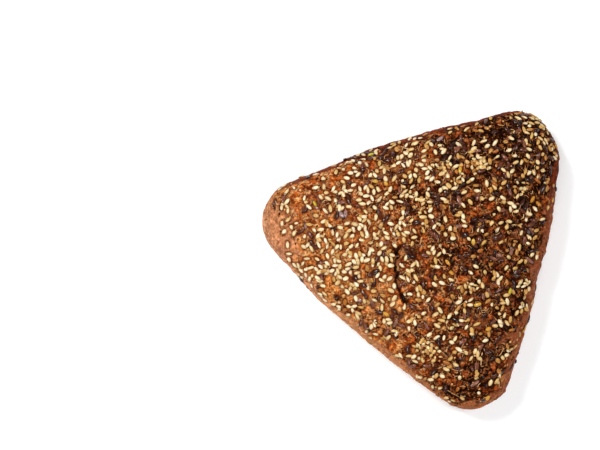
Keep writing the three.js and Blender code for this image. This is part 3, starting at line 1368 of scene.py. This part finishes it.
def topping_material(name, tones, roughness, coat=0.0, bands=(), speckle=0.2, grit=0.0):
    """A skin whose colour runs through tones from copy to copy. Bands lie along its rim and tip."""
    material, tree, shader, where = new_material(name)
    colour = tree.ramp(tree.stored("tone"), tones)
    for title, low, high, share, band_colour in bands:
        colour = tree.over(colour, tree.between(tree.stored(title), low, high), share, band_colour)
    colour = tree.group(PATCHY, Color=colour, Vector=where, Size=MOTTLE, Strength=speckle)["Color"]
    if grit:
        grits = tree.group(FLECKS, Vector=where, Size=MOTTLE, Share=0.6, Reach=0.5)
        colour = flecked(tree, colour, grits, grit, GRIT_COLOURS)
    height = tree.noise(where, WRINKLES, detail=2.0)
    bump = tree.node("ShaderNodeBump", Strength=0.25, Distance=WRINKLE_DEPTH, Height=height)
    tree.join(colour, shader.inputs["Base Color"])
    tree.join(bump.outputs[0], shader.inputs["Normal"])
    shader.inputs["Roughness"].default_value = roughness
    shader.inputs["Specular IOR Level"].default_value = 0
    shader.inputs["Coat Weight"].default_value = coat
    shader.inputs["Coat Roughness"].default_value = 0.1
    print(name, len(tree.tree.nodes), "nodes")
    return material


# %% [markdown]
# ## Sesame
# Hulled sesame is a small cream drop, about 3 mm long. It lies all over the top and gives the roll
# its light spots. A few seeds are toasted to tan, and each is yellower and then dark towards its rim,
# partly its own colour and partly painted shade where it turns down. The darkest band of the rim is
# thin, so a seed keeps a crisp outline without looking small.

# %% Sesame seeds
sesame_skin = topping_material(
    "sesame_skin",
    [
        (0.0, rgb(158, 102, 46)),
        (0.14, rgb(194, 154, 88)),
        (0.4, rgb(213, 189, 139)),
        (1.0, rgb(227, 212, 178)),
    ],
    roughness=0.4,
    coat=0.35,
    # The rim bands are partly the seed's own colour and partly painted shade.
    bands=[
        ("rim", 0.4, 0.9, 0.5, rgb(190, 142, 72)),
        ("rim", 0.9, 1.0, 0.8, rgb(112, 56, 22)),
        ("along", 0.72, 1.0, 0.25, rgb(166, 98, 40)),
    ],
)
sesame = model_seed("sesame", (3.2 * MM, 2.0 * MM, 1.15 * MM), tip=0.34, narrow=0.68, flatness=0.6)
sesame_beds = lay_all(sesame_places, 1.3 * MM, tilt=0.22, lift=0.06 * MM, spread=0.1)
copies("sesame_seeds", [sesame], sesame_beds, sesame_skin)

# %% [markdown]
# ## Brown linseed
# Brown linseed is longer and flatter than sesame, dark red brown, and so smooth that it mirrors
# the softboxes. A few seeds are painted lilac grey, a painted reflection of the softboxes. They need
# the same shape as sesame, drawn longer.

# %% Brown linseeds
linseed_skin = topping_material(
    "linseed_skin",
    [
        (0.0, rgb(42, 18, 10)),
        (0.5, rgb(86, 42, 24)),
        (0.86, rgb(122, 70, 50)),
        (0.94, rgb(122, 80, 64)),
        # Lilac grey at the top of the range: a painted reflection on a few seeds.
        (1.0, rgb(176, 150, 150)),
    ],
    roughness=0.34,
    coat=0.6,
    # The dark rim band is partly syrup and partly painted shade.
    bands=[
        ("rim", 0.62, 1.0, 0.75, rgb(20, 8, 6)),
        ("along", 0.8, 1.0, 0.5, rgb(22, 10, 7)),
    ],
    speckle=0.5,
)
linseed = model_seed("linseed", (4.4 * MM, 2.3 * MM, 1.15 * MM), tip=0.2, narrow=0.72, flatness=0.0)
linseed_beds = lay_all(linseed_places, 1.6 * MM, tilt=0.3, lift=-0.02 * MM, spread=0.12)
copies("brown_linseeds", [linseed], linseed_beds, linseed_skin)

# %% [markdown]
# ## Golden linseed
# Among the brown seeds lie a few golden ones, from ochre to a greenish yellow. They are rare, but
# the eye finds them, so they get a piece and a skin of their own.

# %% Golden linseeds
golden_skin = topping_material(
    "golden_skin",
    [
        (0.0, rgb(150, 84, 30)),
        (0.5, rgb(188, 130, 48)),
        (0.85, rgb(192, 152, 60)),
        (1.0, rgb(178, 166, 44)),
    ],
    roughness=0.34,
    coat=0.4,
    bands=[("along", 0.6, 1.0, 0.5, rgb(150, 84, 26))],
)
golden = model_seed("golden", (2.8 * MM, 1.6 * MM, 0.95 * MM), tip=0.12, narrow=0.8, flatness=0.0)
golden_beds = lay_all(golden_places, 1.5 * MM, tilt=0.3, lift=0.15 * MM, spread=0.12)
copies("golden_linseeds", [golden], golden_beds, golden_skin)

# %% [markdown]
# ## Cracked grain
# Here and there a cracked grain burst into a cluster of pale bits. Each bit is a ragged crumb, and
# the patches bring them together.

# %% Bits of cracked grain
GRAIN_SHAPES = 5

grain_skin = topping_material(
    "grain_skin",
    [
        (0.0, rgb(158, 100, 46)),
        (0.5, rgb(196, 154, 92)),
        (1.0, rgb(222, 202, 152)),
    ],
    roughness=0.6,
    speckle=0.6,
    grit=0.42,
)
grain_size = (1.9 * MM, 1.3 * MM, 0.7 * MM)
grains = [
    model_crumb("grain", grain_size, divisions=2, ragged=0.2, seed_number=3 + number)
    for number in range(GRAIN_SHAPES)
]
grain_beds = lay_all(grain_places, 1.2 * MM, tilt=0.3, lift=0.15 * MM, spread=0.25)
copies("cracked_grain", grains, grain_beds, grain_skin)

# %% [markdown]
# ## Bran
# Fine shavings of bran fill the gaps between the seeds. They come in three shapes, from tightly
# curled to nearly straight, and from near black to the colour of straw. They lie almost flat, or
# they would stand up like hairs in a view from the side.

# %% Shreds of bran
SHREDS = 2600
SHREDS_ABOVE = 0.72  # shreds lie only where the skin's normal rises above this
SHRED_THICKNESS = 0.15 * MM

bran_skin = topping_material(
    "bran_skin",
    [
        (0.0, rgb(18, 8, 5)),
        (0.35, rgb(64, 28, 12)),
        (0.65, rgb(176, 108, 56)),
        (1.0, rgb(226, 188, 134)),
    ],
    roughness=0.5,
    coat=0.06,
)
shreds = [
    model_shred("tight_shred", radius=0.9 * MM, angle=2.2, thickness=SHRED_THICKNESS),
    model_shred("open_shred", radius=1.8 * MM, angle=1.2, thickness=SHRED_THICKNESS),
    model_shred("long_shred", radius=4.5 * MM, angle=0.5, thickness=SHRED_THICKNESS),
]
fine_density = gather(density, BARE_PATCHES)
shred_density = fine_density * (face_normals[:, 2] > SHREDS_ABOVE)
shred_places = [(face, 0.0) for face in draw(SHREDS, shred_density)]
shred_beds = lay_all(shred_places, 1.0 * MM, tilt=0.1, lift=0.12 * MM, spread=0.3, least=0.5, most=1.6)
copies("bran_shreds", shreds, shred_beds, bran_skin)

# %% [markdown]
# ## Meal
# The last layer is the finest: flat crumbs of meal, most of them scorched, that make the crust
# rough between the seeds. Four shapes are enough at this size.

# %% Crumbs of meal
CRUMBS = 2600
CRUMB_SHAPES = 4

crumb_skin = topping_material(
    "crumb_skin",
    [
        (0.0, rgb(20, 7, 4)),
        (0.45, rgb(70, 28, 11)),
        (0.75, rgb(166, 86, 38)),
        (1.0, rgb(232, 184, 122)),
    ],
    roughness=0.45,
    coat=0.04,
)
crumb_size = (1.1 * MM, 0.65 * MM, 0.32 * MM)
crumbs = [
    model_crumb("crumb", crumb_size, divisions=1, ragged=0.22, seed_number=20 + number)
    for number in range(CRUMB_SHAPES)
]
crumb_places = [(face, 0.0) for face in draw(CRUMBS, fine_density)]
crumb_beds = lay_all(crumb_places, 1.0 * MM, tilt=0.5, lift=0.12 * MM, spread=0.35, least=0.4, most=1.9)
copies("meal_crumbs", crumbs, crumb_beds, crumb_skin)


# %% [markdown]
# ## Syrup and painted shade beside the seeds
# Seeds stick in a wet glaze, which darkens as it bakes, and the crust beside a seed lies in its
# shade, so a dark ring is painted round each seed: partly syrup and partly painted shade. The
# crust's material reads the ring from a number at each vertex: how close the nearest seed is. An
# ambient-occlusion node could guess the shade. An ambient-occlusion node could guess it, but the
# export can't keep that.

# %% How close the crust is to a seed
GAP = 1.1 * MM
RING = 1.7  # above 1, the ring keeps full strength for a while before it fades

seed_vertices, seed_faces = [], []
for name in ("sesame_seeds", "brown_linseeds", "golden_linseeds", "cracked_grain"):
    mesh = bpy.data.objects[name].data
    start = len(seed_vertices)
    seed_vertices += [vertex.co[:] for vertex in mesh.vertices]
    seed_faces += [tuple(v + start for v in face.vertices) for face in mesh.polygons]
seed_tree = BVHTree.FromPolygons(seed_vertices, seed_faces)
by_seed = np.zeros(len(places))
for index, place in enumerate(places):
    gap = seed_tree.find_nearest(place, GAP)[3]
    if gap is not None:
        by_seed[index] = min(1, RING * (1 - gap / GAP))
store(crust.data, "by_seed", by_seed)
print("crust beside a seed:", round(float((by_seed > 0.5).mean()), 2))
